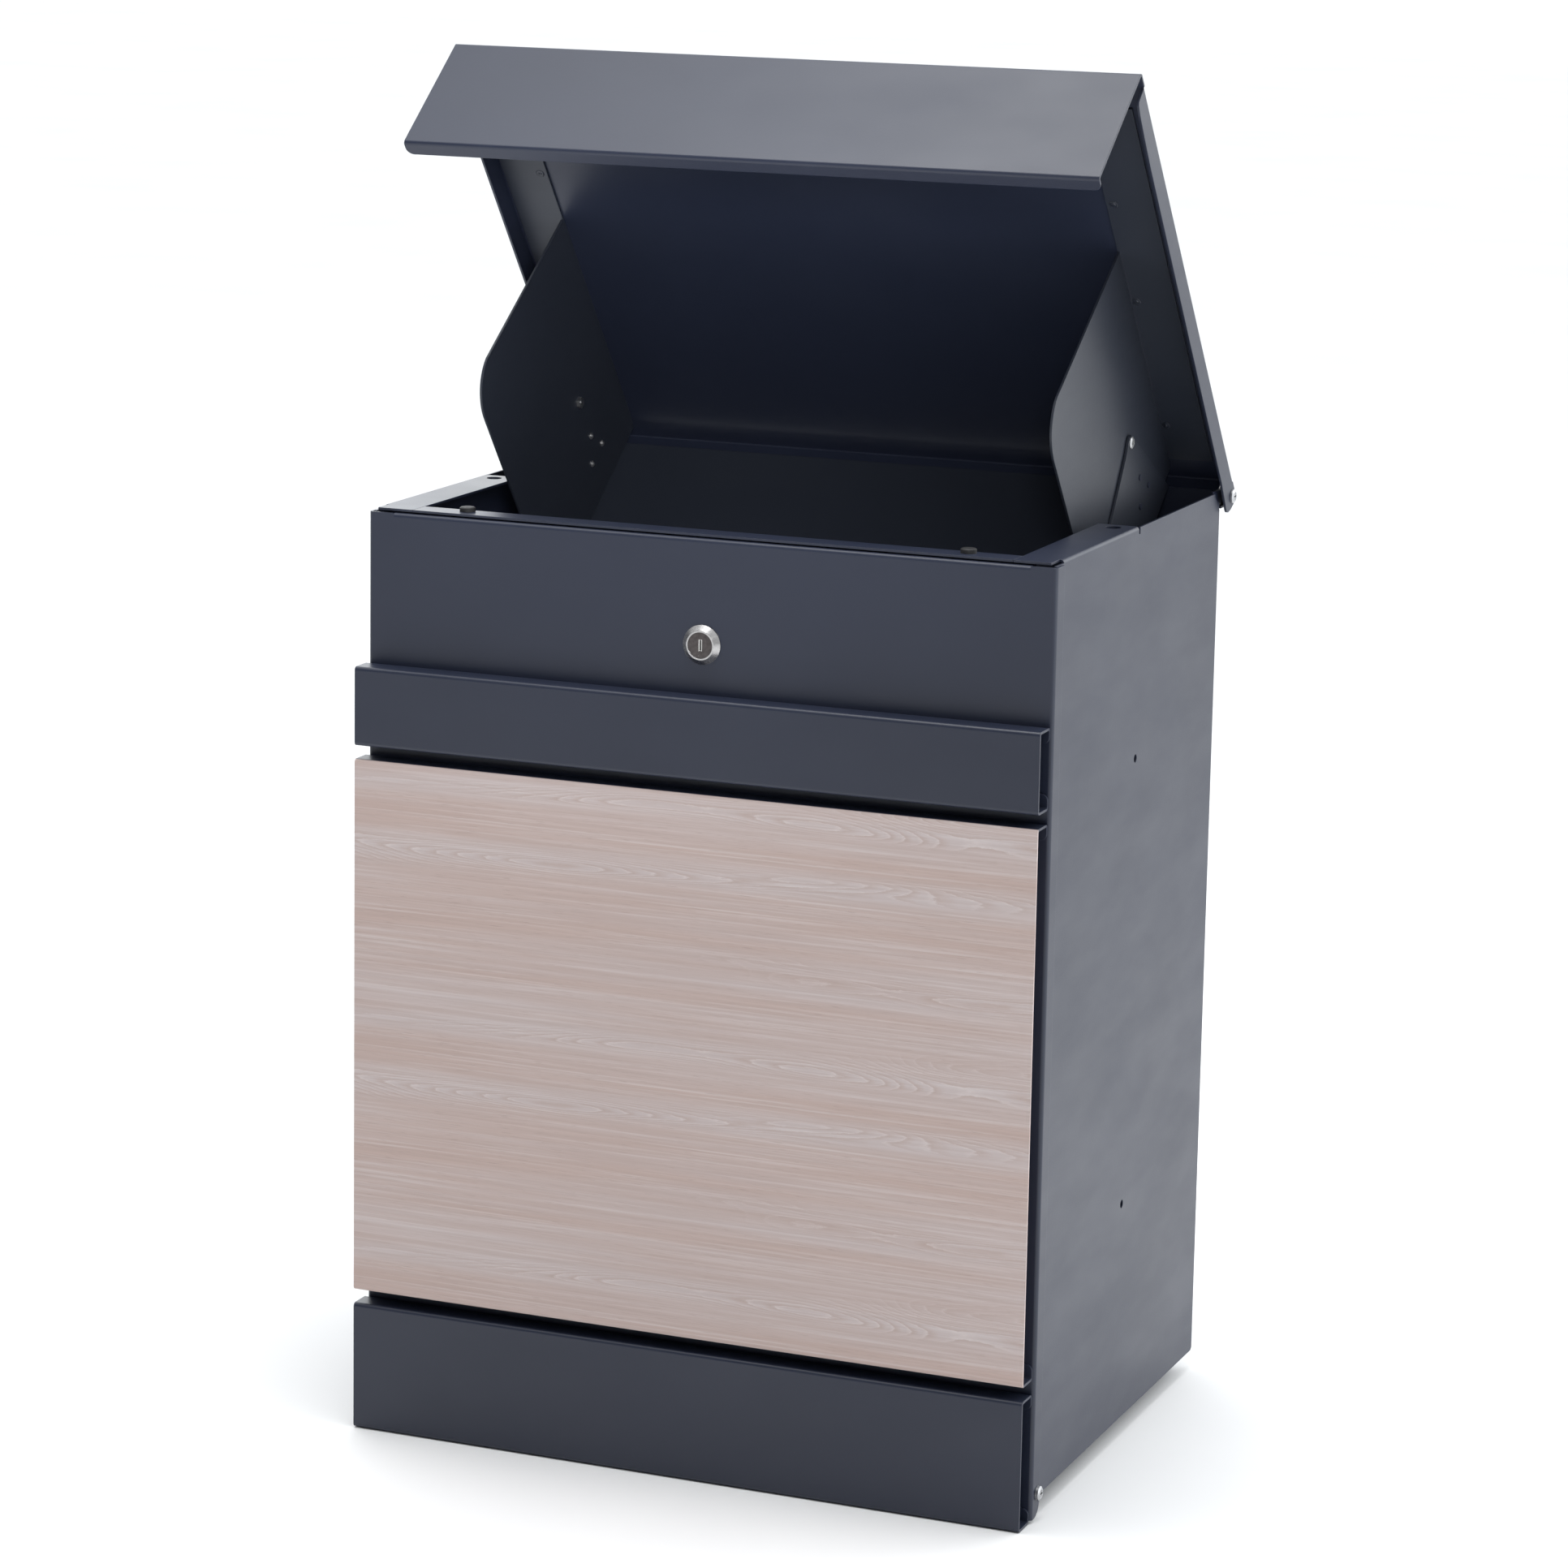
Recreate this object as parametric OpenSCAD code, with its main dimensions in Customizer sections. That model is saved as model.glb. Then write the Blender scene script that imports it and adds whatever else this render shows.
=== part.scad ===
// Parcel drop box: sheet-steel cabinet with a tip-up insert lid, a drop tray and a
// bottom-hinged collection door. Millimetres, +Z up, back of the cabinet on the
// plane y = 0, centre of the wall bolt pattern at the origin. Drawn lid open, door shut.

/* [Cabinet] */
// Outer width of the cabinet sides
cab_w = 456; // [420:2:520]
// Height from the bottom edge to the top of the door
cab_h = 587; // [520:1:680]
// Depth from the front of the door to the back
cab_d = 332; // [328:1:350]
// Sheet thickness
sheet = 1.5; // [1.2:0.1:2]

/* [Rim] */
// Width of the rim arms on each side of the opening
arm_w = 27; // [24:0.5:30]
// Rear end of the rim arms, measured from the door front
arm_end = 161; // [120:1:190]
// Diameter of the holes at the ends of the arms
arm_hole = 10; // [5:0.5:12]
// Diameter of the rubber bumpers
bumper_d = 10; // [7:0.5:11]

/* [Lid] */
// Opening angle of the lid as drawn
lid_open = 52; // [40:1:52]
// Distance from the lid pivot to the visor
lid_len = 363; // [358:1:368]
// Height of the visor below the lid top
visor_h = 96; // [80:1:97]
// Return lip on the lower edge of the visor
visor_lip = 10; // [6:1:12]

/* [Scoop] */
// Outer face of each cheek from the middle of the scoop
cheek_x = 195; // [185:0.5:196]
// Sideways offset of the scoop under the lid
scoop_dx = -3.5; // [-3.5:0.5:0]
// Depth of the cheeks below the lid
cheek_n = 160; // [120:1:180]
// Front edge of the cheeks from the lid pivot
cheek_u = 219; // [190:1:240]
// Length of the drop tray
tray_len = 360; // [300:5:370]

/* [Door] */
// Width of the door
door_w = 460; // [460:1:460]
// Height of the door
door_h = 598; // [596:1:600]
// Depth of the side flanges
door_flange = 14; // [14:0.5:18]
// How far the decor panels stand proud of the door
decor_out = 18; // [14:0.5:22]
// Width of the decor panels
decor_w = 459; // [440:1:460]
// Height of the return lips behind the decor panels
decor_lip = 10; // [8:0.5:12]
// Sideways offset of the decor panels on the door
decor_dx = -1.3; // [-1.5:0.1:0.5]

/* [Lock] */
// Lock axis below the top of the door
lock_z = 66; // [60:1:75]
// Bezel diameter at the door
bezel_d = 25; // [24:0.5:27]
// Length of the cam from the lock axis
cam_len = 38; // [36:1:42]

/* [Fixings] */
// Horizontal spacing of the wall holes
wall_dx = 420; // [410:1:425]
// Vertical spacing of the wall holes
wall_dz = 400; // [300:5:450]
// Wall hole diameter
wall_hole = 8; // [6:0.5:10]
// Diameter of the holes in the cabinet sides
side_hole = 5.5; // [4:0.5:7]

/* [Hidden] */
$fn = 64;

hw = cab_w / 2;
front_y = 4;
rim_top = 2.5;
rim_low = rim_top - sheet;
side_top = 1.8;
arm_in = hw - arm_w;
arm_fore = 18;
slot_w = 2.5;
side_flange = 13.5;
side_hole_y = 167;
side_hole_z = [-147, -440];
wall_z = -cab_h / 2;

rail_y0 = 3;
rail_y1 = 22;
keeper_drop = 36;
bumper_x = 168;
bumper_y = 14.5;
bumper_h = 3;

piv_y = cab_d + 11.5;
piv_z = -2.5;
lid_hw = 232;
lid_top = 7.5;
lid_low = lid_top - sheet;
lid_back = 7;
lip_hw = 224.5;
lip_n = -5;
bend = 2.5;
screw_d = 5;
screw_hole = 5.1;
head_d = 9;
nut_af = 8;
nut_h = 4;
rivet_d = 4;
rivet_hole = 4.1;
ear_x = hw - sheet - 0.1;
ear_rivet_x = 214;
ear_rivet_z = [-21, -37];

visor_n = lid_top - visor_h;
cheek_out = 225;
cheek_r = 30;
tray_x = cheek_x + 2.2;
tray_flange = 1.8;
tray_u = 16;
tray_pts = [[64.8, -50.3], [48, -40.4], [48, -60.2]];
tray_screw = [97, -50.5];
tray_m = 4;
tray_m_hole = 4.1;
stud_d = 3;
stud_hole = 3.1;

door_hw = door_w / 2;
door_in = door_hw - sheet;
door_lip = 10.5;
door_lip_hw = 213;
door_piv_y = 9.2;
door_piv_z = -cab_h + 4.5;
handle_z = [-97, -148];
wood_z = [-156.5, -507];
kick_z = [-516, -600];
decor_x = [-180 + decor_dx, decor_dx, 180 + decor_dx];
decor_rivet_z = [for (p = [handle_z, wood_z, kick_z], s = [0, 1]) p[s] + (s == 0 ? -5.5 : 5.5)];

lock_body = 19;
lock_bore = 19.3;
plug_d = 15;
face_d = 16.4;
rim_y = -3.7;
face_y = -3.3;
cam_y = rail_y1 + 0.6;
cam_t = 2.5;

// ---- frames -----------------------------------------------------------------
// Cabinet frame: y from the door front to the back, z below the top of the door
module cab() {
    translate([0, -cab_d, cab_h / 2]) children();
}
// Lid frame: pivot axis at the origin, -y towards the visor, z out of the lid
module lid_at() {
    cab() translate([0, piv_y, piv_z]) rotate([-lid_open, 0, 0]) children();
}
module scoop_at() {
    lid_at() translate([scoop_dx, 0, 0]) children();
}
// Extrude a (y, z) outline along x
module yz(x0, w) {
    translate([x0, 0, 0]) rotate([90, 0, 90]) linear_extrude(w) children();
}
// Extrude a (distance from pivot, height) outline of the lid along x
module un(x0, w) {
    yz(x0, w) mirror([1, 0]) children();
}
// The children and their mirror image in x
module both() {
    children();
    mirror([1, 0, 0]) children();
}
// Box and rods given by their [from, to] ranges
module box(x, y, z) {
    translate([x[0], y[0], z[0]]) cube([x[1] - x[0], y[1] - y[0], z[1] - z[0]]);
}
module xrod(x, y, z, d) {
    translate([x[0], y, z]) rotate([0, 90, 0]) cylinder(h = x[1] - x[0], d = d);
}
module yrod(x, y, z, d) {
    translate([x, y[0], z]) rotate([-90, 0, 0]) cylinder(h = y[1] - y[0], d = d);
}
module zrod(x, y, z, d) {
    translate([x, y, z[0]]) cylinder(h = z[1] - z[0], d = d);
}

// ---- outlines ---------------------------------------------------------------
module span(a, b, c, d) {
    translate([a, c]) square([b - a, d - c]);
}
// Rectangle a..b by c..d with all four corners rounded
module soft(a, b, c, d, r) {
    span(a + r, b - r, c, d);
    span(a, b, c + r, d - r);
    for (x = [a + r, b - r], y = [c + r, d - r]) translate([x, y]) circle(r);
}
// Waste left outside a rounded corner of radius r in the +x +y direction
module corner(r) {
    difference() {
        square(r + 1);
        circle(r);
    }
}

// ---- fasteners --------------------------------------------------------------
// Screws along +x, head outermost, x0 = underside of the head
module low_screw(x0, y, z, reach) {
    difference() {
        union() {
            xrod([x0 - reach, x0 + 0.3], y, z, tray_m);
            xrod([x0, x0 + 0.6], y, z, 8);
            translate([x0 + 0.59, y, z]) rotate([0, 90, 0]) cylinder(h = 0.7, d1 = 8, d2 = 5.6);
        }
        box([x0 + 0.6, x0 + 2], [y - 1.9, y + 1.9], [z - 0.4, z + 0.4]);
        box([x0 + 0.6, x0 + 2], [y - 0.4, y + 0.4], [z - 1.9, z + 1.9]);
    }
}
module pan_screw(x0, y, z, reach, rise = 1.9) {
    difference() {
        union() {
            xrod([x0 - reach, x0 + 0.5], y, z, screw_d);
            xrod([x0, x0 + rise], y, z, head_d);
            translate([x0 + rise - 0.01, y, z]) rotate([0, 90, 0]) cylinder(h = 0.9, d1 = head_d, d2 = head_d - 2.6);
        }
        box([x0 + rise - 0.7, x0 + 4], [y - 2.2, y + 2.2], [z - 0.5, z + 0.5]);
        box([x0 + rise - 0.7, x0 + 4], [y - 0.5, y + 0.5], [z - 2.2, z + 2.2]);
    }
}
module nut_x(x0, y, z) {
    difference() {
        translate([x0, y, z]) rotate([0, 90, 0]) cylinder(h = nut_h, d = nut_af / cos(30), $fn = 6);
        xrod([x0 - 1, x0 + nut_h + 1], y, z, screw_hole);
    }
}

// ---- cabinet ----------------------------------------------------------------
module shell_plan(inset, r) {
    x = hw - inset;
    yb = cab_d - inset;
    span(-x, x, front_y, yb - r);
    span(-x + r, x - r, front_y, yb);
    for (s = [-1, 1]) translate([s * (x - r), yb - r]) circle(r);
}
module arm_section() {
    difference() {
        soft(arm_in - 10, hw, -20, rim_top, bend);
        soft(arm_in - 20, hw - sheet, -30, rim_low, bend - sheet);
        span(arm_in - 30, arm_in, -40, 10);
        span(arm_in - 30, hw + 1, -40, -6);
    }
}
module body_shell() color([0.24, 0.26, 0.29]) cab() difference() {
    union() {
        translate([0, 0, -cab_h]) linear_extrude(cab_h + side_top) difference() {
            shell_plan(0, 3);
            shell_plan(sheet, 1.5);
            span(-hw + sheet, hw - sheet, 0, 20);
        }
        // the back stands a little higher between the ears
        box([-hw + 3.5, hw - 3.5], [cab_d - sheet, cab_d], [-3, rim_top]);
        both() box([hw - side_flange, hw - 0.5], [front_y, front_y + sheet], [-cab_h + 17, -3]);
        both() translate([0, arm_end, 0]) rotate([90, 0, 0]) linear_extrude(arm_end - arm_fore) arm_section();
        both() box([arm_in, hw - 3], [rail_y0, arm_fore + 0.5], [rim_low, rim_top]);
    }
    // top edge of the sides: step over the bend, relief slot behind the arm
    both() box([hw - bend, hw + 1], [front_y - 2, arm_fore], [0.3, 5]);
    both() difference() {
        box([hw - bend, hw + 1], [arm_fore - 0.01, arm_end], [rim_top - bend, 5]);
        translate([hw - bend, arm_fore - 1, rim_top - bend]) rotate([-90, 0, 0]) cylinder(h = arm_end, r = bend);
    }
    both() box([hw - 4, hw + 1], [arm_end, arm_end + slot_w], [-2.5, 5]);
    // corner relief around the hinge ears
    both() box([hw - 3.5, hw + 1], [cab_d - 3.2, cab_d + 1], [-10, 5]);
    both() yz(hw - 3.4, 5) polygon([[cab_d - 13.4, 5], [cab_d - 13.4, 1.5], [cab_d - 10.7, -2.2], [cab_d - 4.6, -5.4],
                                    [cab_d + 1, -6.9], [cab_d + 1, 5]]);
    // clipped lower rear corners
    yz(-hw - 1, cab_w + 2) polygon([[cab_d - 6, -cab_h - 1], [cab_d + 1, -cab_h - 1], [cab_d + 1, -cab_h + 4],
                                    [cab_d, -cab_h + 4]]);
    both() zrod(arm_in + arm_w / 2, arm_end - 11, [rim_low - 1, rim_top + 1], arm_hole);
    for (z = side_hole_z) both() xrod([hw - 3, hw + 1], side_hole_y, z, side_hole);
    for (x = [-wall_dx / 2, wall_dx / 2], z = [-wall_dz / 2, wall_dz / 2])
        yrod(x, [cab_d - 3, cab_d + 1], wall_z + z, wall_hole);
    both() for (z = ear_rivet_z) yrod(ear_rivet_x, [cab_d - 3, cab_d + 1], z, rivet_hole);
    both() xrod([hw - 3, hw + 1], door_piv_y, door_piv_z, screw_hole);
}

module front_rail() color([0.26, 0.28, 0.31]) cab() difference() {
    union() {
        yz(-arm_in + 0.3, 2 * arm_in - 0.6) difference() {
            soft(rail_y0 - 10, rail_y1, -keeper_drop - 10, rim_top, 2);
            soft(rail_y0 - 20, rail_y1 - sheet, -keeper_drop - 20, rim_low, 0.5);
            span(rail_y0 - 30, rail_y0, -90, 10);
            span(rail_y0 - 30, rail_y1 + 1, -90, -keeper_drop);
        }
        both() box([arm_in - 10, arm_in - 0.3], [13, 19.5], [rim_low - sheet, rim_low]);
        both() box([arm_in - 0.4, arm_in + 12], [13, 19.5], [rim_low - sheet, rim_low - 0.1]);
    }
    for (s = [-1, 1]) zrod(s * bumper_x, bumper_y, [rim_low - 1, rim_top + 1], 5);
    // keeper flange corners
    for (s = [-1, 1]) translate([s * (arm_in - 8.3), rail_y1 + 1, -keeper_drop + 8]) rotate([90, 0, 0])
        linear_extrude(3) mirror([s < 0 ? 1 : 0, 0]) mirror([0, 1]) corner(8);
}

module floor_pan() color([0.22, 0.24, 0.27]) cab() difference() {
    box([-hw + sheet + 0.2, hw - sheet - 0.2], [front_y + 1.6, cab_d - sheet - 0.2], [-cab_h, -cab_h + 18]);
    box([-hw + 2 * sheet + 0.2, hw - 2 * sheet - 0.2], [0, cab_d - 2 * sheet - 0.2], [-cab_h + sheet, -cab_h + 20]);
    both() box([hw - 14, hw + 1], [0, 24], [-cab_h - 1, -cab_h + 20]);
    both() box([hw - 8, hw + 1], [cab_d - 8, cab_d + 1], [-cab_h - 1, -cab_h + 20]);
    both() for (y = [60, cab_d - 50]) zrod(hw - 60, y, [-cab_h - 1, -cab_h + 3], 6);
}

module hinge_ear() {
    difference() {
        union() {
            box([hw - 24, hw - 2], [cab_d + 0.2, cab_d + 0.2 + sheet], [-45, -8.2]);
            box([hw - 24, hw], [cab_d + 0.2, cab_d + 19], [-9.5, -8]);
            // upright plate, just inside the line of the cabinet side
            box([ear_x - sheet, ear_x], [cab_d - 12.4, piv_y], [-9.5, 3]);
            box([ear_x - sheet, ear_x], [piv_y - 1, cab_d + 19], [-9.5, -4]);
            yz(ear_x - sheet, sheet) translate([piv_y, piv_z]) circle(7.6);
        }
        xrod([ear_x - 3, ear_x + 1], piv_y, piv_z, screw_hole);
        for (z = ear_rivet_z) yrod(ear_rivet_x, [cab_d - 1, cab_d + 3], z, rivet_hole);
    }
}
module hinge_ear_right() color([0.2, 0.22, 0.25]) cab() hinge_ear();
module hinge_ear_left() color([0.2, 0.22, 0.25]) cab() mirror([1, 0, 0]) hinge_ear();

module ear_rivets() color("silver") cab() both() for (z = ear_rivet_z) {
    yrod(ear_rivet_x, [cab_d - 3, cab_d + 3], z, rivet_d);
    yrod(ear_rivet_x, [cab_d + 0.25 + sheet, cab_d + 1.4 + sheet], z, 7);
    yrod(ear_rivet_x, [cab_d - sheet - 1.5, cab_d - sheet - 0.05], z, 5.6);
}

module rubber_bumpers() color([0.05, 0.05, 0.05]) cab() for (s = [-1, 1]) translate([s * bumper_x, bumper_y, 0]) {
    zrod(0, 0, [rim_top + 0.02, rim_top + bumper_h - 0.6], bumper_d);
    translate([0, 0, rim_top + bumper_h - 0.6]) cylinder(h = 0.6, d1 = bumper_d, d2 = bumper_d - 1.6);
    zrod(0, 0, [rim_low - 1.5, rim_top + 1], 4.6);
    translate([0, 0, rim_low - 2.4]) cylinder(h = 2.35, d1 = 4, d2 = 6);
}

module lid_pivot_screws() color("silver") cab() both() pan_screw(lid_hw + 0.2, piv_y, piv_z, 13, 1.2);
module lid_pivot_nuts() color("silver") cab() both() nut_x(ear_x - sheet - nut_h - 0.05, piv_y, piv_z);
module lid_pivot_spacers() color([0.08, 0.08, 0.08]) cab() both() difference() {
    xrod([ear_x + 0.1, lid_hw - sheet - 0.1], piv_y, piv_z, 11);
    xrod([ear_x, lid_hw], piv_y, piv_z, screw_hole + 0.1);
}
module door_pivot_screws() color("silver") cab() both() pan_screw(door_hw + 0.2, door_piv_y, door_piv_z, 12);
module door_pivot_nuts() color("silver") cab() both() nut_x(hw - sheet - nut_h - 0.05, door_piv_y, door_piv_z);

// ---- lid and scoop ----------------------------------------------------------
module lid_section() {
    difference() {
        soft(lid_back, lid_len, visor_n, lid_top, bend);
        soft(lid_back + sheet, lid_len - sheet, visor_n + sheet, lid_low, bend - sheet);
        span(lid_back - 5, lid_len - visor_lip, visor_n - 5, lip_n);
    }
}
module lid_flange_outline() {
    polygon([[lid_len - 11.5, lid_top - bend], [lid_len - 12.2, -6], [lid_len - 14, -7.5], [lid_len - 22, -9],
             [lid_len - 41, -10], [lid_len - 62, -11], [24, -11.4], [8, -13], [1.5, -13.9], [-1.2, -13.7],
             [-3.2, -12], [-5.6, -7], [-7.1, 0], [-7.5, 5], [-7.2, lid_top - 0.9], [lid_back, lid_top - 0.9],
             [lid_back, lid_top - bend]]);
}
module lid_panel() color([0.27, 0.29, 0.32]) lid_at() difference() {
    union() {
        un(-lid_hw + bend, 2 * (lid_hw - bend)) lid_section();
        both() un(lid_hw - bend - 1, bend + 1) intersection() {
            lid_section();
            span(lid_len - 11, lid_len + 1, visor_n - 1, lid_top + 1);
        }
        both() un(lid_hw - sheet, sheet) lid_flange_outline();
        both() translate([0, -lid_back, 0]) rotate([90, 0, 0]) linear_extrude(lid_len - 11.5 - lid_back)
            intersection() {
                translate([lid_hw - bend, lid_top - bend]) difference() {
                    circle(bend);
                    circle(bend - sheet);
                }
                span(lid_hw - bend, lid_hw + 1, lid_top - bend, lid_top + 1);
            }
    }
    // rear lip stops short of the ears
    both() box([lip_hw, lid_hw - sheet - 0.01], [-lid_back - 3, 0], [lip_n - 1, lid_low]);
    both() xrod([lid_hw - 3, lid_hw + 1], 0, 0, screw_hole);
    // rounded ends of the visor lip
    both() translate([lid_hw - 5, -(lid_len - visor_lip + 5), visor_n - 1]) linear_extrude(sheet + 1.01) corner(5);
}

module cheek_outline() {
    difference() {
        polygon([[19, 4], [cheek_u - 6, 4], [cheek_u + 2, -cheek_n], [19, -cheek_n]]);
        translate([cheek_u + 1 - cheek_r, -cheek_n + cheek_r]) mirror([0, 1]) difference() {
            square(cheek_r + 8);
            circle(cheek_r);
        }
        translate([19, -cheek_n]) rotate(45) square(16, center = true);
    }
}
module cheek() difference() {
    union() {
        un(cheek_x - sheet, sheet) cheek_outline();
        // flange welded to the underside of the lid
        translate([0, 0, lid_low - sheet - 0.05]) linear_extrude(sheet)
            polygon([[cheek_x - sheet, -27], [cheek_out, -27], [cheek_out, -lid_len + 28],
                     [cheek_x - sheet, -lid_len + 28]]);
        box([cheek_x - sheet, cheek_x], [-cheek_u + 6, -22], [3.5, 5]);
    }
    for (p = tray_pts) xrod([cheek_x - 3, cheek_x + 1], -p[0], p[1], stud_hole);
    xrod([cheek_x - 3, cheek_x + 1], -tray_screw[0], tray_screw[1], tray_m_hole);
}
module cheek_right() color([0.34, 0.36, 0.41]) scoop_at() cheek();
module cheek_left() color([0.34, 0.36, 0.41]) scoop_at() mirror([1, 0, 0]) cheek();

module tray_side() {
    polygon([[tray_u, -10], [91.5, -43.5], [96.5, -44.6], [100.6, -47], [101.8, -50.8], [100.4, -54.5], [96.6, -61],
             [89.3, -83], [81.4, -107.5], [tray_u + 12, -tray_len + 14], [tray_u + 12, -tray_len],
             [tray_u, -tray_len]]);
}
module drop_tray() color([0.3, 0.32, 0.36]) scoop_at() difference() {
    union() {
        un(-tray_x, 2 * tray_x) span(tray_u, tray_u + sheet, -tray_len, -10);
        un(-tray_x, 2 * tray_x) span(tray_u, tray_u + 12, -tray_len, -tray_len + sheet);
        both() un(tray_x - tray_flange, tray_flange) tray_side();
    }
    both() for (p = tray_pts) xrod([tray_x - 3, tray_x + 1], -p[0], p[1], stud_hole);
    both() xrod([tray_x - 3, tray_x + 1], -tray_screw[0], tray_screw[1], tray_m_hole);
}
module tray_rivets() color("silver") scoop_at() both() for (p = tray_pts) {
    xrod([cheek_x - sheet - 1, tray_x + 0.4], -p[0], p[1], stud_d);
    xrod([tray_x + 0.05, tray_x + 0.7], -p[0], p[1], 4.2);
    xrod([cheek_x - sheet - 0.65, cheek_x - sheet - 0.05], -p[0], p[1], 4.6);
    translate([cheek_x - sheet - 0.64, -p[0], p[1]]) rotate([0, -90, 0]) cylinder(h = 1.1, d1 = 4.6, d2 = 2.2);
}
module tray_screws() color("silver") scoop_at() both()
    low_screw(tray_x + 0.05, -tray_screw[0], tray_screw[1], 6.3);
module tray_nuts() color("silver") scoop_at() both() difference() {
    translate([cheek_x - sheet - 2.25, -tray_screw[0], tray_screw[1]]) rotate([0, 90, 0])
        cylinder(h = 2.2, d = 7 / cos(30), $fn = 6);
    xrod([cheek_x - sheet - 4, cheek_x], -tray_screw[0], tray_screw[1], tray_m_hole);
}

// ---- door -------------------------------------------------------------------
module door_plan() {
    difference() {
        soft(-door_hw, door_hw, 0, 40, bend);
        soft(-door_in, door_in, sheet, 50, bend - sheet);
        span(-door_hw - 1, door_hw + 1, door_flange, 60);
    }
}
module door_panel() color([0.24, 0.26, 0.3]) cab() difference() {
    union() {
        difference() {
            translate([0, 0, -door_h]) linear_extrude(door_h) door_plan();
            box([-door_lip_hw, door_lip_hw], [-1, 5], [-4, 1]);
        }
        yz(-door_lip_hw, 2 * door_lip_hw) difference() {
            soft(0, door_lip + 20, -30, 0, bend);
            soft(sheet, door_lip + 30, -40, -sheet, bend - sheet);
            span(-1, door_lip + 40, -50, -4);
            span(door_lip, door_lip + 40, -50, 1);
        }
    }
    both() xrod([door_in - 1, door_hw + 1], door_piv_y, door_piv_z, screw_hole);
    // rounded lower corners of the side flanges
    yz(-door_hw - 1, door_w + 2) translate([door_flange - 10, -door_h + 10]) mirror([0, 1]) corner(10);
    yrod(0, [-1, 3], -lock_z, lock_bore);
    for (x = decor_x, z = decor_rivet_z) yrod(x, [-1, 3], z, rivet_hole);
}
module decor(z) difference() {
    yz(decor_dx - decor_w / 2, decor_w) difference() {
        soft(-decor_out, -0.05, z[1], z[0], bend);
        soft(-decor_out + sheet, -0.05 - sheet, z[1] + sheet, z[0] - sheet, bend - sheet);
        span(-2.5, 1, z[1] + decor_lip, z[0] - decor_lip);
    }
    // rounded lip ends
    for (s = [0, 1], t = [0, 1]) translate([decor_dx, 0.1, z[t]]) mirror([s, 0, 0]) mirror([0, 0, 1 - t])
        translate([decor_w / 2 - 4, 0, decor_lip - 4]) rotate([90, 0, 0]) linear_extrude(2.2) corner(4);
    for (x = decor_x, zz = [z[0] - 5.5, z[1] + 5.5]) yrod(x, [-3, 1], zz, rivet_hole);
}
module handle_strip() color([0.27, 0.29, 0.32]) cab() decor(handle_z);
module wood_panel() color([0.86, 0.79, 0.74]) cab() decor(wood_z);
module kick_panel() color([0.27, 0.29, 0.32]) cab() decor(kick_z);
module decor_rivets() color("silver") cab() for (x = decor_x, z = decor_rivet_z) {
    yrod(x, [-2.2, sheet + 0.5], z, rivet_d);
    yrod(x, [sheet + 0.05, sheet + 1.1], z, 7);
    yrod(x, [-sheet - 1.5, -sheet - 0.1], z, 5.6);
}

// ---- lock -------------------------------------------------------------------
module lock_housing() color([0.75, 0.75, 0.76]) cab() translate([0, 0, -lock_z]) difference() {
    union() {
        yrod(0, [-0.8, 0], 0, bezel_d);
        translate([0, -0.79, 0]) rotate([90, 0, 0]) cylinder(h = -rim_y - 0.79, d1 = bezel_d, d2 = face_d + 2);
        intersection() {
            yrod(0, [-0.5, 20], 0, lock_body);
            box([-8.2, 8.2], [-1, 21], [-10, 10]);
        }
    }
    yrod(0, [-5, 21], 0, plug_d + 0.1);
    yrod(0, [-5, -1.45], 0, face_d + 0.1);
}
module lock_nut() color("silver") cab() translate([0, 0, -lock_z]) difference() {
    translate([0, sheet + 0.05, 0]) rotate([-90, 30, 0]) cylinder(h = 4.5, d = 26, $fn = 6);
    yrod(0, [0, 10], 0, lock_body + 0.1);
}
module lock_plug() color([0.62, 0.62, 0.63]) cab() translate([0, 0, -lock_z]) difference() {
    union() {
        yrod(0, [face_y, -1.5], 0, face_d);
        yrod(0, [-2, 20], 0, plug_d);
        yrod(0, [19.5, cam_y - 0.05], 0, 13);
        box([-3.5, 3.5], [20, cam_y + cam_t - 0.1], [-3.5, 3.5]);
    }
    // keyway behind a shallow recess, index mark below it
    box([-1.3, 1.3], [face_y - 1, face_y + 0.8], [-3.7, 3.7]);
    box([-0.5, 0.5], [face_y - 1, 4], [-3.3, 3.3]);
    box([-1.2, 1.2], [face_y - 1, face_y + 0.3], [-6.9, -6.2]);
    yrod(0, [14, cam_y + cam_t + 1], 0, rivet_hole);
}
module lock_cam() color("silver") cab() translate([0, 0, -lock_z]) difference() {
    union() {
        yrod(0, [cam_y, cam_y + cam_t], 0, 18);
        box([-cam_len, 0], [cam_y, cam_y + cam_t], [-7.5, 7.5]);
    }
    box([-3.6, 3.6], [cam_y - 1, cam_y + cam_t + 1], [-3.6, 3.6]);
    translate([-cam_len + 5, cam_y + cam_t + 1, 2.5]) rotate([90, 0, 0]) linear_extrude(5) mirror([1, 0]) corner(5);
    translate([-cam_len + 5, cam_y + cam_t + 1, -2.5]) rotate([90, 0, 0]) linear_extrude(5)
        mirror([1, 0]) mirror([0, 1]) corner(5);
}
module cam_screw() color("silver") cab() translate([0, 0, -lock_z]) {
    yrod(0, [15, cam_y + cam_t + 1], 0, rivet_d);
    yrod(0, [cam_y + cam_t + 0.05, cam_y + cam_t + 1.1], 0, 12);
    translate([0, cam_y + cam_t + 1, 0]) rotate([-90, 0, 0]) cylinder(h = 2.6, d = 8, $fn = 6);
}

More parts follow.
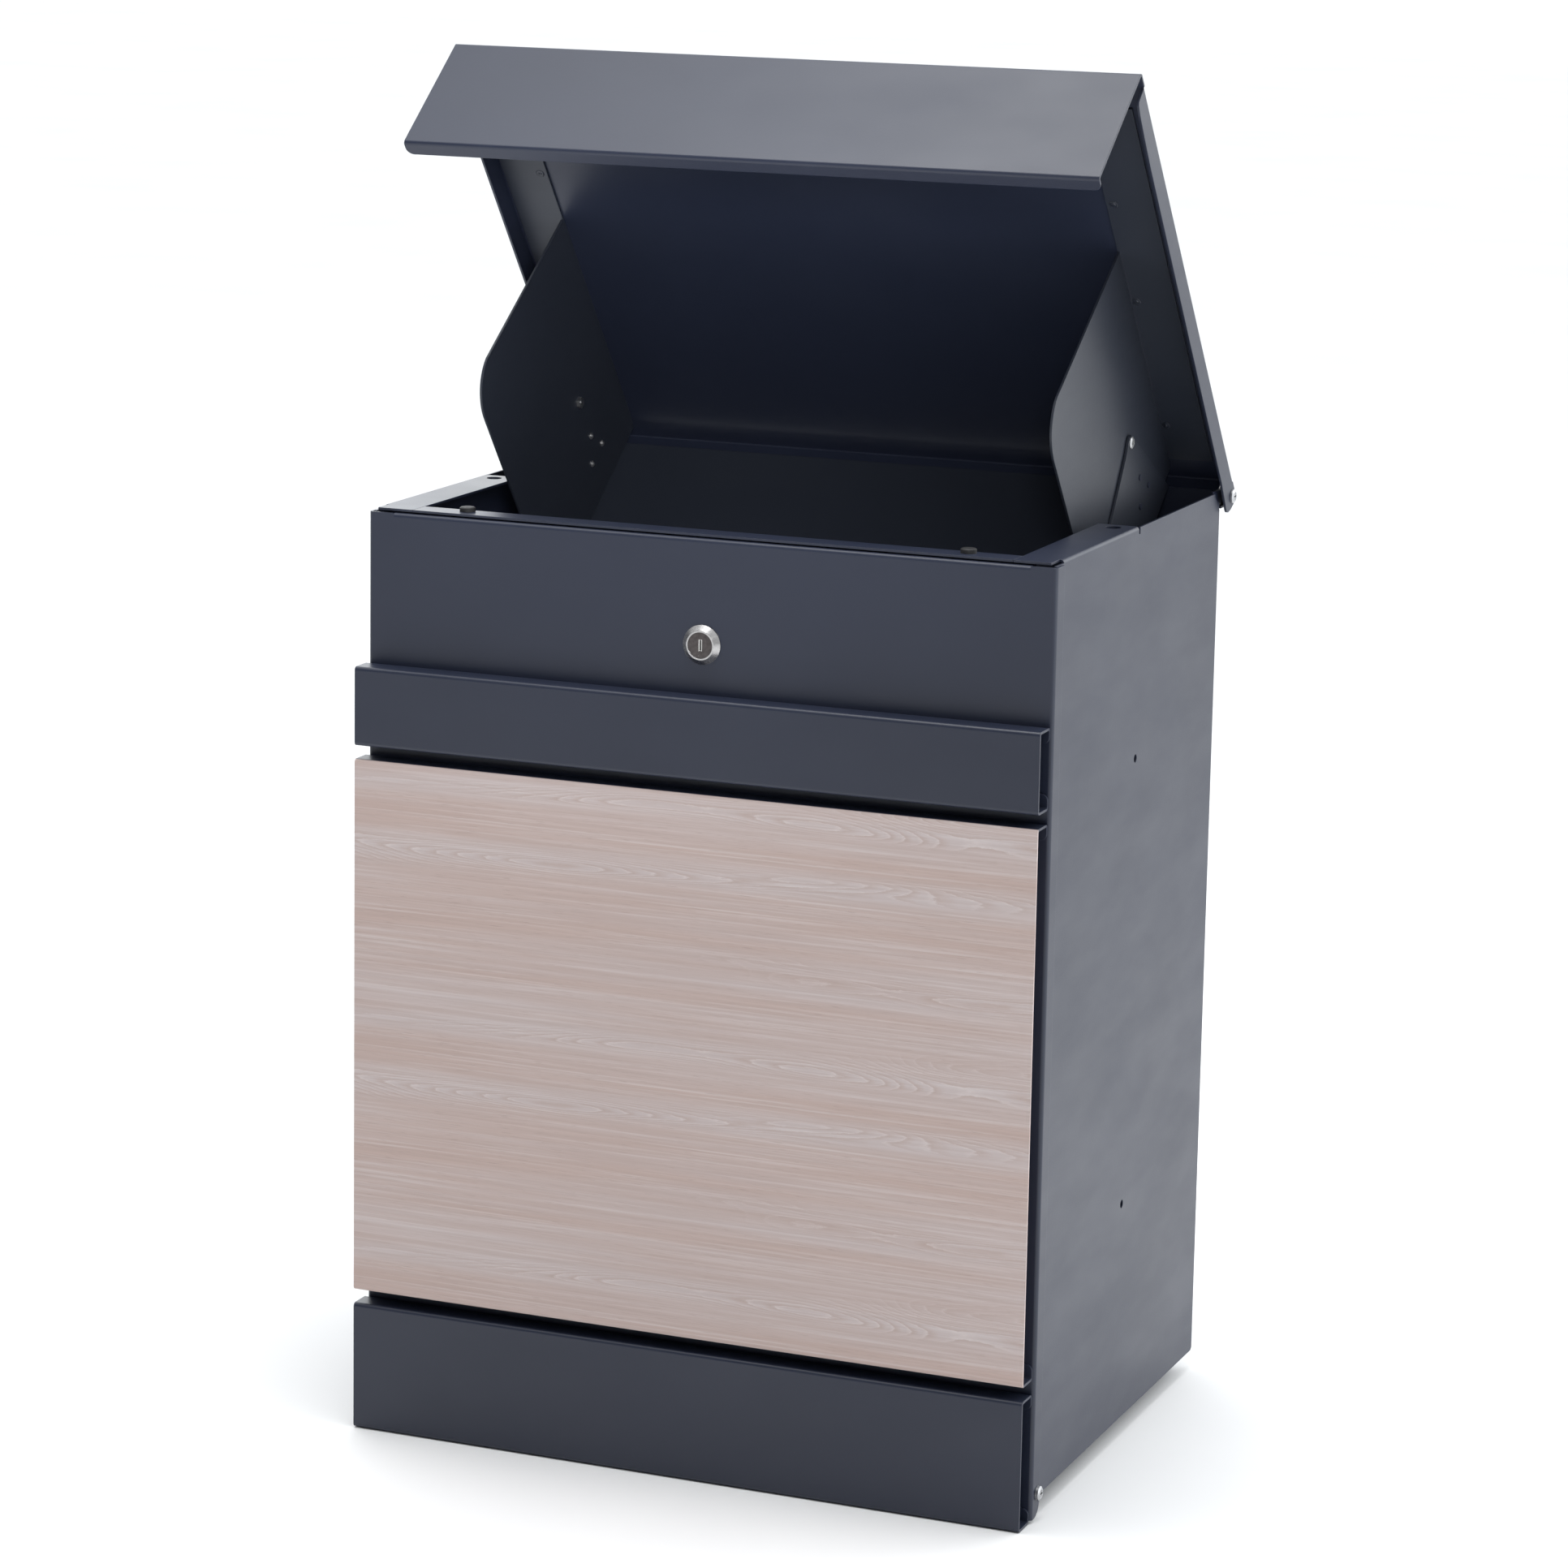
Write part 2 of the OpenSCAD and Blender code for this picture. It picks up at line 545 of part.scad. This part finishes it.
body_shell();
front_rail();
floor_pan();
hinge_ear_left();
hinge_ear_right();
ear_rivets();
rubber_bumpers();
lid_pivot_screws();
lid_pivot_nuts();
lid_pivot_spacers();
door_pivot_screws();
door_pivot_nuts();
lid_panel();
cheek_left();
cheek_right();
drop_tray();
tray_rivets();
tray_screws();
tray_nuts();
door_panel();
handle_strip();
wood_panel();
kick_panel();
decor_rivets();
lock_housing();
lock_nut();
lock_plug();
lock_cam();
cam_screw();
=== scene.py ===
"""Parcel drop box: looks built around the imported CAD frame. Metres, +Z up, the wall is towards +Y."""
import math

import bmesh
import bpy
from mathutils import Matrix, Vector


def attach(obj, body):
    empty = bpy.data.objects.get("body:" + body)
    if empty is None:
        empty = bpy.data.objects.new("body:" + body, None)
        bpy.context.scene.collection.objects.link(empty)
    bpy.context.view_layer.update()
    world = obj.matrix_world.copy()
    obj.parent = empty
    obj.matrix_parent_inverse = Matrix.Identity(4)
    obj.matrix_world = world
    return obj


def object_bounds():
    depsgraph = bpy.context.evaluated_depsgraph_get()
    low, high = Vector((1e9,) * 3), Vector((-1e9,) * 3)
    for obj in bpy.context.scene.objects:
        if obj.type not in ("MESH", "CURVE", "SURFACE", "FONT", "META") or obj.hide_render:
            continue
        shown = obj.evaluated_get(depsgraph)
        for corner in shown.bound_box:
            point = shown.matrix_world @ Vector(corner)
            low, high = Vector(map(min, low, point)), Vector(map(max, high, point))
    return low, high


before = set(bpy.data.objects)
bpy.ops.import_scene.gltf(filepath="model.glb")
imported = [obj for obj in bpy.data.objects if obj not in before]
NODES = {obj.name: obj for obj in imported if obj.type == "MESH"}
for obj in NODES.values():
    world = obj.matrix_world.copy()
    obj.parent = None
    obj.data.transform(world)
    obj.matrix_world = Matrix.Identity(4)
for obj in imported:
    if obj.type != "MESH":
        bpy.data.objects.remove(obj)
CAD_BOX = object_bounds()

# ---- camera -----------------------------------------------------------------
CAMERA_AT = (1.1796, -3.0928, 0.7806)
CAMERA_YAW = math.radians(22.172)
CAMERA_PITCH = math.radians(10.424)
CAMERA_ROLL = math.radians(1.009)
CAMERA_LENS = 113.63
CAMERA_SHIFT_Y = -0.0888


def add_camera():
    """A long lens low in front of the box, turned to show its right side."""
    ahead = Vector((-math.sin(CAMERA_YAW), math.cos(CAMERA_YAW), 0))
    side = Vector((math.cos(CAMERA_YAW), math.sin(CAMERA_YAW), 0))
    top = Vector((0, 0, 1))
    look = math.cos(CAMERA_PITCH) * ahead - math.sin(CAMERA_PITCH) * top
    rise = math.cos(CAMERA_PITCH) * top + math.sin(CAMERA_PITCH) * ahead
    right = math.cos(CAMERA_ROLL) * side + math.sin(CAMERA_ROLL) * rise
    up = math.cos(CAMERA_ROLL) * rise - math.sin(CAMERA_ROLL) * side
    data = bpy.data.cameras.new("camera")
    data.lens = CAMERA_LENS
    data.sensor_width = 36
    data.shift_y = CAMERA_SHIFT_Y
    data.clip_end = 60
    camera = bpy.data.objects.new("camera", data)
    bpy.context.scene.collection.objects.link(camera)
    axes = Matrix((right, up, -look)).transposed().to_4x4()
    camera.matrix_world = Matrix.Translation(CAMERA_AT) @ axes
    bpy.context.scene.camera = camera


# ---- node helpers -----------------------------------------------------------
class Tree:
    """A material's node tree, with short calls for the nodes that it uses."""

    def __init__(self, name):
        self.material = bpy.data.materials.new(name)
        self.material.use_nodes = True
        self.tree = self.material.node_tree
        self.tree.nodes.clear()
        self.out = self.tree.nodes.new("ShaderNodeOutputMaterial")
        self.shader = self.tree.nodes.new("ShaderNodeBsdfPrincipled")
        self.tree.links.new(self.shader.outputs[0], self.out.inputs[0])
        self.here = self.add("ShaderNodeTexCoord").outputs["Object"]

    def add(self, kind, **values):
        node = self.tree.nodes.new(kind)
        for key, value in values.items():
            setattr(node, key, value)
        return node

    def link(self, value, socket):
        """Links an output to a socket, or sets the socket to a plain value."""
        if isinstance(value, bpy.types.NodeSocket):
            self.tree.links.new(value, socket)
        else:
            socket.default_value = value

    def math(self, operation, a, b=0.0, clamp=False):
        node = self.add("ShaderNodeMath", operation=operation, use_clamp=clamp)
        for value, socket in zip((a, b), node.inputs):
            self.link(value, socket)
        return node.outputs[0]

    def scaled(self, vector, scale):
        node = self.add("ShaderNodeVectorMath", operation="MULTIPLY")
        self.link(vector, node.inputs[0])
        node.inputs[1].default_value = scale
        return node.outputs[0]

    def noise(self, vector, scale, detail=2.0, rough=0.5):
        node = self.add("ShaderNodeTexNoise")
        self.link(vector, node.inputs["Vector"])
        node.inputs["Scale"].default_value = scale
        node.inputs["Detail"].default_value = detail
        node.inputs["Roughness"].default_value = rough
        return node.outputs["Fac"]

    def specks(self, vector, scale, low, high):
        """1 in the middle of scattered cells, 0 between them."""
        node = self.add("ShaderNodeTexVoronoi")
        self.link(vector, node.inputs["Vector"])
        node.inputs["Scale"].default_value = scale
        return self.ranged(node.outputs["Distance"], high, low, 0.0, 1.0)

    def ranged(self, value, a, b, low, high):
        node = self.add("ShaderNodeMapRange")
        self.link(value, node.inputs["Value"])
        for key, number in zip(("From Min", "From Max", "To Min", "To Max"), (a, b, low, high)):
            node.inputs[key].default_value = number
        return node.outputs["Result"]

    def mix(self, factor, a, b):
        """A colour between a and b."""
        node = self.add("ShaderNodeMix", data_type="RGBA")
        self.link(factor, node.inputs[0])
        for value, socket in ((a, node.inputs[6]), (b, node.inputs[7])):
            self.link((*value, 1.0) if isinstance(value, tuple) else value, socket)
        return node.outputs[2]

    def xyz(self):
        node = self.add("ShaderNodeSeparateXYZ")
        self.link(self.here, node.inputs[0])
        return node.outputs

    def near(self, value, middle, reach, soft=0.0002):
        """1 within reach of middle, falling to 0 just outside."""
        away = self.math("ABSOLUTE", self.math("SUBTRACT", value, middle))
        return self.ranged(away, reach + soft, reach, 0.0, 1.0)

    def edges(self, radius, gain):
        """1 on the sharp edges of the mesh, from the bevelled normal."""
        bevel = self.add("ShaderNodeBevel", samples=4)
        bevel.inputs["Radius"].default_value = radius
        geometry = self.add("ShaderNodeNewGeometry")
        dot = self.add("ShaderNodeVectorMath", operation="DOT_PRODUCT")
        self.link(bevel.outputs[0], dot.inputs[0])
        self.link(geometry.outputs["Normal"], dot.inputs[1])
        away = self.math("SUBTRACT", 1.0, dot.outputs["Value"])
        return bevel.outputs[0], self.math("MULTIPLY", away, gain, clamp=True)

    def bump(self, height, distance, strength, normal=None):
        node = self.add("ShaderNodeBump")
        node.inputs["Strength"].default_value = strength
        node.inputs["Distance"].default_value = distance
        self.link(height, node.inputs["Height"])
        if normal is not None:
            self.link(normal, node.inputs["Normal"])
        return node.outputs[0]

    def finish(self, **sockets):
        for key, value in sockets.items():
            name = key.replace("_", " ")
            self.link((*value, 1.0) if isinstance(value, tuple) and len(value) == 3 else value,
                      self.shader.inputs[name])
        return self.material


def coat_parts(t, low, high, rough, edge_wear_and_highlight):
    """Colour, roughness, skin height and normal of a satin powder coat with specks, and sharp edges
    lightened towards a paler coat: partly wear, partly a painted edge highlight.
    """
    clouds = t.noise(t.here, 7.0, 3.0, 0.55)
    grain = t.noise(t.here, 1500.0, 1.0)
    shade = t.math("ADD", t.math("MULTIPLY", clouds, 0.7), t.math("MULTIPLY", grain, 0.3))
    colour = t.mix(t.ranged(shade, 0.3, 0.7, 0.0, 1.0), low, high)
    dusty = t.ranged(t.noise(t.here, 23.0), 0.5, 0.62, 0.0, 0.4)
    dust = t.math("MULTIPLY", t.specks(t.here, 260.0, 0.03, 0.09), dusty)
    colour = t.mix(dust, colour, tuple(min(1.0, c * 2.0) for c in high))
    normal, edge = t.edges(0.0005, 1.8)
    # sharp edges lightened: partly wear, partly a painted highlight along edges and bends
    colour = t.mix(t.math("MULTIPLY", edge, edge_wear_and_highlight), colour, tuple(c * 2.6 + 0.015 for c in high))
    smears = t.noise(t.scaled(t.here, (9.0, 9.0, 26.0)), 1.0, 3.0, 0.6)
    gloss = t.math("ADD", t.ranged(smears, 0.3, 0.7, rough - 0.035, rough + 0.045),
                   t.ranged(grain, 0.3, 0.7, -0.02, 0.02))
    skin = t.math("ADD", t.noise(t.here, 420.0, 2.0, 0.6), t.math("MULTIPLY", grain, 0.35))
    return colour, gloss, skin, normal


def coat(name, low, high, rough, edge_wear_and_highlight=0.45):
    """Satin powder coat on its own."""
    t = Tree(name)
    colour, gloss, skin, normal = coat_parts(t, low, high, rough, edge_wear_and_highlight)
    return t.finish(Base_Color=colour, Roughness=gloss, IOR=1.5,
                    Normal=t.bump(skin, 0.00006, 0.45, normal))


def wood_print(name, low, high):
    """Whitewashed oak printed on coated sheet: the figure repeats up the sheet, with the grain along X."""
    t = Tree(name)
    x, y, z = t.xyz()
    turn = t.math("MULTIPLY", t.math("SUBTRACT", z, y), 2 * math.pi / PRINT_REPEAT)
    loop = t.add("ShaderNodeCombineXYZ")
    radius = PRINT_REPEAT / (2 * math.pi)
    t.link(x, loop.inputs[0])
    t.link(t.math("MULTIPLY", t.math("COSINE", turn), radius), loop.inputs[1])
    t.link(t.math("MULTIPLY", t.math("SINE", turn), radius), loop.inputs[2])
    around = loop.outputs[0]

    def grain(along, across, detail, rough):
        return t.noise(t.scaled(around, (along, across, across)), 1.0, detail, rough)

    # broad pinkish and greyer bands, then fine streaks
    bands = grain(1.3, 46.0, 3.0, 0.6)
    colour = t.mix(t.ranged(bands, 0.36, 0.64, 0.0, 1.0), (0.555, 0.425, 0.385), (0.595, 0.515, 0.505))
    streaks = grain(9.0, 420.0, 4.0, 0.7)
    colour = t.mix(t.ranged(streaks, 0.38, 0.72, 0.0, 0.42), colour, (0.44, 0.32, 0.285))
    pale = grain(6.0, 620.0, 3.0, 0.6)
    colour = t.mix(t.ranged(pale, 0.5, 0.72, 0.0, 0.5), colour, (0.72, 0.66, 0.65))
    # cathedral figures: contour lines of a slow field, ragged at their tips, in their own bands only
    field = grain(4.6, 40.0, 1.0, 0.4)
    ragged = grain(60.0, 380.0, 3.0, 0.75)
    height = t.math("ADD", t.math("MULTIPLY", field, 30.0), t.math("MULTIPLY", ragged, 0.85))
    rings = t.math("FRACT", height)
    line = t.math("MULTIPLY", t.ranged(rings, 0.45, 0.9, 0.0, 1.0), t.ranged(rings, 1.0, 0.9, 0.0, 1.0))
    where = t.ranged(grain(1.7, 34.0, 1.0, 0.5), 0.55, 0.66, 0.0, 1.0)
    figure = t.math("MULTIPLY", line, where)
    colour = t.mix(t.math("MULTIPLY", figure, 0.5), colour, (0.47, 0.335, 0.29))
    glow = t.math("MULTIPLY", t.ranged(rings, 0.22, 0.0, 0.0, 0.45), where)
    colour = t.mix(glow, colour, (0.74, 0.66, 0.64))
    # pores: short dark dashes along the grain
    pores = t.ranged(grain(85.0, 2500.0, 1.0, 0.4), 0.64, 0.74, 0.0, 1.0)
    pores = t.math("MULTIPLY", pores, t.ranged(bands, 0.62, 0.42, 0.12, 0.6))
    colour = t.mix(pores, colour, (0.42, 0.31, 0.28))
    # the print stops just round the bend; flanges and back are plain coat
    plain, gloss, skin, normal = coat_parts(t, low, high, 0.42, 0.4)
    printed = t.ranged(y, *PRINT_EDGE, 0.0, 1.0)
    colour = t.mix(printed, plain, colour)
    face = t.ranged(streaks, 0.3, 0.7, 0.40, 0.52)
    gloss = t.math("ADD", t.math("MULTIPLY", printed, face),
                   t.math("MULTIPLY", t.math("SUBTRACT", 1.0, printed), gloss))
    relief = t.math("ADD", t.math("MULTIPLY", t.math("MULTIPLY", pores, printed), -0.6),
                    t.math("ADD", t.math("MULTIPLY", streaks, 0.3), t.math("MULTIPLY", skin, 0.4)))
    return t.finish(Base_Color=colour, Roughness=gloss, IOR=1.48,
                    Normal=t.bump(relief, 0.00005, 0.5, normal))


def metal_parts(t, low, high, rough, brush, edge_wear_and_highlight, edge_gain=0.5):
    scratch = t.noise(t.scaled(t.here, brush), 1.0, 3.0, 0.7)
    cloud = t.noise(t.here, 420.0, 2.0, 0.6)
    colour = t.mix(t.ranged(t.math("ADD", t.math("MULTIPLY", scratch, 0.5), t.math("MULTIPLY", cloud, 0.5)),
                            0.35, 0.65, 0.0, 1.0), low, high)
    normal, edge = t.edges(0.0002, 2.0)
    # edges mixed towards a brighter colour: partly wear, partly a painted edge highlight
    colour = t.mix(t.math("MULTIPLY", edge, edge_gain), colour, edge_wear_and_highlight)
    gloss = t.ranged(scratch, 0.3, 0.7, rough - 0.06, rough + 0.08)
    return colour, gloss, scratch, normal


def metal(name, low, high, rough, brush, edge_wear_and_highlight=(0.9, 0.9, 0.9)):
    """Plated or brushed metal: fine scratches, cloudy plating, and edges lightened as partly wear, partly a
    painted highlight.
    """
    t = Tree(name)
    colour, gloss, scratch, normal = metal_parts(t, low, high, rough, brush, edge_wear_and_highlight)
    return t.finish(Base_Color=colour, Metallic=1.0, Roughness=gloss,
                    Normal=t.bump(scratch, 0.00002, 0.35, normal))


def plug_metal(name, low, high, shutter):
    """Darkened face of the lock plug, with a bright shutter at the bottom of the keyway recess."""
    t = Tree(name)
    colour, gloss, scratch, normal = metal_parts(t, low, high, 0.36, (2600.0, 900.0, 400.0),
                                                 (0.55, 0.54, 0.52), 0.6)
    x, y, z = t.xyz()
    key = t.math("MULTIPLY", t.near(x, 0.0, SHUTTER_X), t.near(z, LOCK_Z, SHUTTER_Z))
    key = t.math("MULTIPLY", key, t.ranged(y, *SHUTTER_DEPTH, 0.0, 1.0))
    colour = t.mix(key, colour, shutter)
    return t.finish(Base_Color=colour, Metallic=1.0, Roughness=gloss,
                    Normal=t.bump(scratch, 0.00002, 0.35, normal))


def painted_rivets(name, low, high):
    """Rivets set before painting: coat on the outer heads, bare bright domes inside the cheeks."""
    t = Tree(name)
    x, y, z = t.xyz()
    bare = t.ranged(t.math("ABSOLUTE", t.math("SUBTRACT", x, SCOOP_X)), *BARE_EDGE, 0.0, 1.0)
    plain, _, skin, normal = coat_parts(t, low, high, 0.40, 0.45)
    metal_colour = t.mix(t.noise(t.here, 900.0, 2.0), (0.50, 0.50, 0.51), (0.68, 0.68, 0.68))
    colour = t.mix(bare, plain, metal_colour)
    return t.finish(Base_Color=colour, Metallic=bare, Roughness=t.ranged(skin, 0.3, 1.0, 0.32, 0.42),
                    Normal=t.bump(skin, 0.00004, 0.4, normal))


def polymer(name, low, high, rough, pitch):
    """Moulded rubber or nylon: mottled, with a fine matt grain and a painted highlight along its edges."""
    t = Tree(name)
    grain = t.noise(t.here, pitch, 2.0, 0.6)
    blotch = t.noise(t.here, pitch * 0.12, 2.0)
    colour = t.mix(t.ranged(blotch, 0.35, 0.65, 0.0, 1.0), low, high)
    normal, edge = t.edges(0.0003, 1.6)
    # edges lightened towards a paler grey: painted edge highlight
    colour = t.mix(t.math("MULTIPLY", edge, 0.35), colour, tuple(c * 3 + 0.02 for c in high))
    return t.finish(Base_Color=colour, Roughness=t.ranged(grain, 0.3, 0.7, rough - 0.05, rough + 0.07),
                    IOR=1.5, Normal=t.bump(grain, 0.00005, 0.4, normal))


def use(material, *names):
    """Puts a material on every slot of the named CAD nodes."""
    for name in names:
        slots = NODES[name].data.materials
        if not slots:
            slots.append(material)
        for index in range(len(slots)):
            slots[index] = material


# ---- materials --------------------------------------------------------------
LOCK_Z = 0.2275
SHUTTER_X, SHUTTER_Z = 0.0012, 0.0036  # half width and half height of the lock's shutter
SHUTTER_DEPTH = (-0.33505, -0.3349)  # Y across which the bottom of the keyway recess starts
SCOOP_X = -0.0035
BARE_EDGE = (0.1945, 0.1940)  # reach from the scoop's middle where a rivet turns from coated to bare
PRINT_REPEAT = 0.155  # height of one repeat of the wood print
PRINT_EDGE = (-0.3482, -0.3487)  # Y across which plain coat turns into print, just round the bend
COAT_LOW, COAT_HIGH = (0.0160, 0.0206, 0.0395), (0.0200, 0.0254, 0.0475)
# paler, greyer copy of the same anthracite coat for the parts inside the mouth: painted light brightening
# the shaded interior
INNER_PAINTED_LIGHT_LOW, INNER_PAINTED_LIGHT_HIGH = (0.022, 0.0265, 0.039), (0.0265, 0.0315, 0.0455)

ANTHRACITE = coat("anthracite_coat", COAT_LOW, COAT_HIGH, 0.40)
INNER_PAINTED_LIGHT = coat("anthracite_inner_painted_light", INNER_PAINTED_LIGHT_LOW, INNER_PAINTED_LIGHT_HIGH, 0.44, edge_wear_and_highlight=0.2)
WOOD = wood_print("oak_print", COAT_LOW, COAT_HIGH)
ZINC = metal("zinc_plate", (0.42, 0.43, 0.45), (0.60, 0.60, 0.60), 0.38, (900.0, 900.0, 2600.0))
RIVET = metal("rivet_steel", (0.40, 0.41, 0.43), (0.56, 0.56, 0.57), 0.40, (1500.0, 1500.0, 1500.0))
TRAY_RIVET = painted_rivets("tray_rivet", COAT_LOW, COAT_HIGH)
NICKEL = metal("satin_nickel", (0.44, 0.43, 0.43), (0.56, 0.55, 0.545), 0.24, (3200.0, 900.0, 3200.0))
PLUG = plug_metal("plug_nickel", (0.075, 0.066, 0.066), (0.13, 0.116, 0.115), (0.82, 0.81, 0.79))
RUBBER = polymer("black_rubber", (0.010, 0.010, 0.011), (0.018, 0.018, 0.019), 0.62, 2600.0)
NYLON = polymer("black_nylon", (0.012, 0.012, 0.013), (0.020, 0.020, 0.022), 0.42, 3800.0)

use(ANTHRACITE, "body_shell", "front_rail", "lid_panel", "door_panel", "handle_strip", "kick_panel",
    "hinge_ear_left", "hinge_ear_right")
# the floor pan, cheeks and tray get the painted-lighter copy of the coat
use(INNER_PAINTED_LIGHT, "floor_pan", "cheek_left", "cheek_right", "drop_tray")
use(WOOD, "wood_panel")
use(ZINC, "lid_pivot_screws", "lid_pivot_nuts", "door_pivot_screws", "door_pivot_nuts", "tray_screws",
    "tray_nuts", "lock_nut", "lock_cam", "cam_screw")
use(RIVET, "ear_rivets", "decor_rivets")
use(TRAY_RIVET, "tray_rivets")
use(NICKEL, "lock_housing")
use(PLUG, "lock_plug")
use(RUBBER, "rubber_bumpers")
use(NYLON, "lid_pivot_spacers")

# ---- weld marks on the scoop flanges ---------------------------------------
LID_OPEN = math.radians(52)
LID_AT = (0, 0.0115, 0.291)
WELD_X = 0.1985  # sideways reach of the spots from the scoop's middle
WELD_REACHES = (0.058, 0.170, 0.254)  # from the lid pivot towards the visor
# radius of each ring of a spot, and its height over the lid pivot
WELD_RINGS = ((0.0030, 0.00450), (0.0027, 0.00425), (0.0019, 0.00418), (0.0013, 0.00436), (0.0004, 0.00440))
WELD_SIDES = 20


def add_weld_marks():
    """Shallow pressed spots where each cheek's flange is welded to the lid."""
    shape = bmesh.new()
    for side in (-1, 1):
        for reach in WELD_REACHES:
            rings = []
            for radius, low in WELD_RINGS:
                ring = []
                for i in range(WELD_SIDES):
                    turn = 2 * math.pi * i / WELD_SIDES
                    wobble = 1 + 0.05 * math.sin(3 * turn + reach * 90) * (radius > 0.001)
                    ring.append(shape.verts.new((SCOOP_X + side * WELD_X + radius * wobble * math.cos(turn),
                                                 -reach + radius * wobble * math.sin(turn), low)))
                rings.append(ring)
            for outer, inner in zip(rings, rings[1:]):
                for i in range(WELD_SIDES):
                    j = (i + 1) % WELD_SIDES
                    shape.faces.new((outer[i], inner[i], inner[j], outer[j]))
            shape.faces.new(rings[-1])
            shape.faces.new(rings[0][::-1])
    bmesh.ops.recalc_face_normals(shape, faces=shape.faces)
    shape.transform(Matrix.Translation(LID_AT) @ Matrix.Rotation(-LID_OPEN, 4, "X"))
    mesh = bpy.data.meshes.new("flange_weld_marks")
    shape.to_mesh(mesh)
    shape.free()
    mesh.shade_smooth()
    mesh.materials.append(coat("weld_mark_coat", tuple(c * 0.8 for c in INNER_PAINTED_LIGHT_LOW), INNER_PAINTED_LIGHT_HIGH, 0.34))
    marks = bpy.data.objects.new("flange_weld_marks", mesh)
    bpy.context.scene.collection.objects.link(marks)
    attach(marks, "lid")


add_weld_marks()

# ---- floor, lights, camera --------------------------------------------------
FLOOR_Z = CAD_BOX[0][2] - 0.0005


def add_floor():
    """A wide pale floor just under the box."""
    t = Tree("pale_floor")
    tone = t.noise(t.here, 3.0, 3.0)
    colour = t.mix(t.ranged(tone, 0.3, 0.7, 0.0, 1.0), (0.84, 0.84, 0.845), (0.88, 0.88, 0.88))
    material = t.finish(Base_Color=colour, Roughness=0.9, Specular_IOR_Level=0.1)
    mesh = bpy.data.meshes.new("floor")
    shape = bmesh.new()
    bmesh.ops.create_grid(shape, x_segments=4, y_segments=4, size=14.0)
    shape.to_mesh(mesh)
    shape.free()
    mesh.materials.append(material)
    floor = bpy.data.objects.new("floor", mesh)
    floor.location = (0, 0, FLOOR_Z)
    bpy.context.scene.collection.objects.link(floor)


def add_light(name, at, aim, size, watts, colour=(1, 1, 1), spread=180):
    """A rectangular softbox at one point, aimed at another; spread is in degrees."""
    data = bpy.data.lights.new(name, "AREA")
    data.spread = math.radians(spread)
    data.shape = "RECTANGLE"
    data.size, data.size_y = size
    data.energy = watts
    data.color = colour
    light = bpy.data.objects.new(name, data)
    light.location = at
    light.rotation_euler = (Vector(aim) - Vector(at)).to_track_quat("-Z", "Y").to_euler()
    bpy.context.scene.collection.objects.link(light)


def add_world():
    """A white studio, brightest low behind the box and above, dimmer on the camera's side."""
    world = bpy.data.worlds.new("studio")
    bpy.context.scene.world = world
    world.use_nodes = True
    tree = world.node_tree
    nodes, links = tree.nodes, tree.links
    nodes.clear()
    out = nodes.new("ShaderNodeOutputWorld")
    back = nodes.new("ShaderNodeBackground")
    links.new(back.outputs[0], out.inputs[0])
    coord = nodes.new("ShaderNodeTexCoord")

    def glow(towards, low, high, dim, bright):
        dot = nodes.new("ShaderNodeVectorMath")
        dot.operation = "DOT_PRODUCT"
        links.new(coord.outputs["Generated"], dot.inputs[0])
        dot.inputs[1].default_value = tuple(Vector(towards).normalized())
        ramp = nodes.new("ShaderNodeMapRange")
        ramp.interpolation_type = "SMOOTHSTEP"
        links.new(dot.outputs["Value"], ramp.inputs["Value"])
        for key, number in zip(("From Min", "From Max", "To Min", "To Max"), (low, high, dim, bright)):
            ramp.inputs[key].default_value = number
        return ramp.outputs["Result"]

    total = nodes.new("ShaderNodeMath")
    total.operation = "ADD"
    links.new(glow((0.2, 0.9, 0.4), -0.85, 0.9, 0.02, 1.75), total.inputs[0])
    links.new(glow((-0.55, 0.82, 0.15), 0.86, 0.99, 0.0, 1.2), total.inputs[1])
    links.new(total.outputs[0], back.inputs["Strength"])
    back.inputs["Color"].default_value = (0.96, 0.985, 1.0, 1.0)


bpy.context.scene.view_settings.view_transform = "Standard"
add_camera()
add_floor()
add_world()
add_light("top_softbox", (-0.1, -0.55, 2.8), (0, -0.3, 0.1), (1.8, 1.3), 50)
add_light("rear_side_softbox", (0.95, 0.75, 0.75), (0.22, -0.05, 0.25), (0.5, 0.5), 2.2)
add_light("mouth_fill", (0.45, -1.25, 0.66), (-0.12, -0.15, 0.42), (0.35, 0.25), 0.42, (1, 1, 1), 34)
add_light("low_side_softbox", (1.8, -0.5, 0.1), (0.2, -0.2, -0.25), (0.8, 0.4), 3, (0.86, 0.92, 1.0))
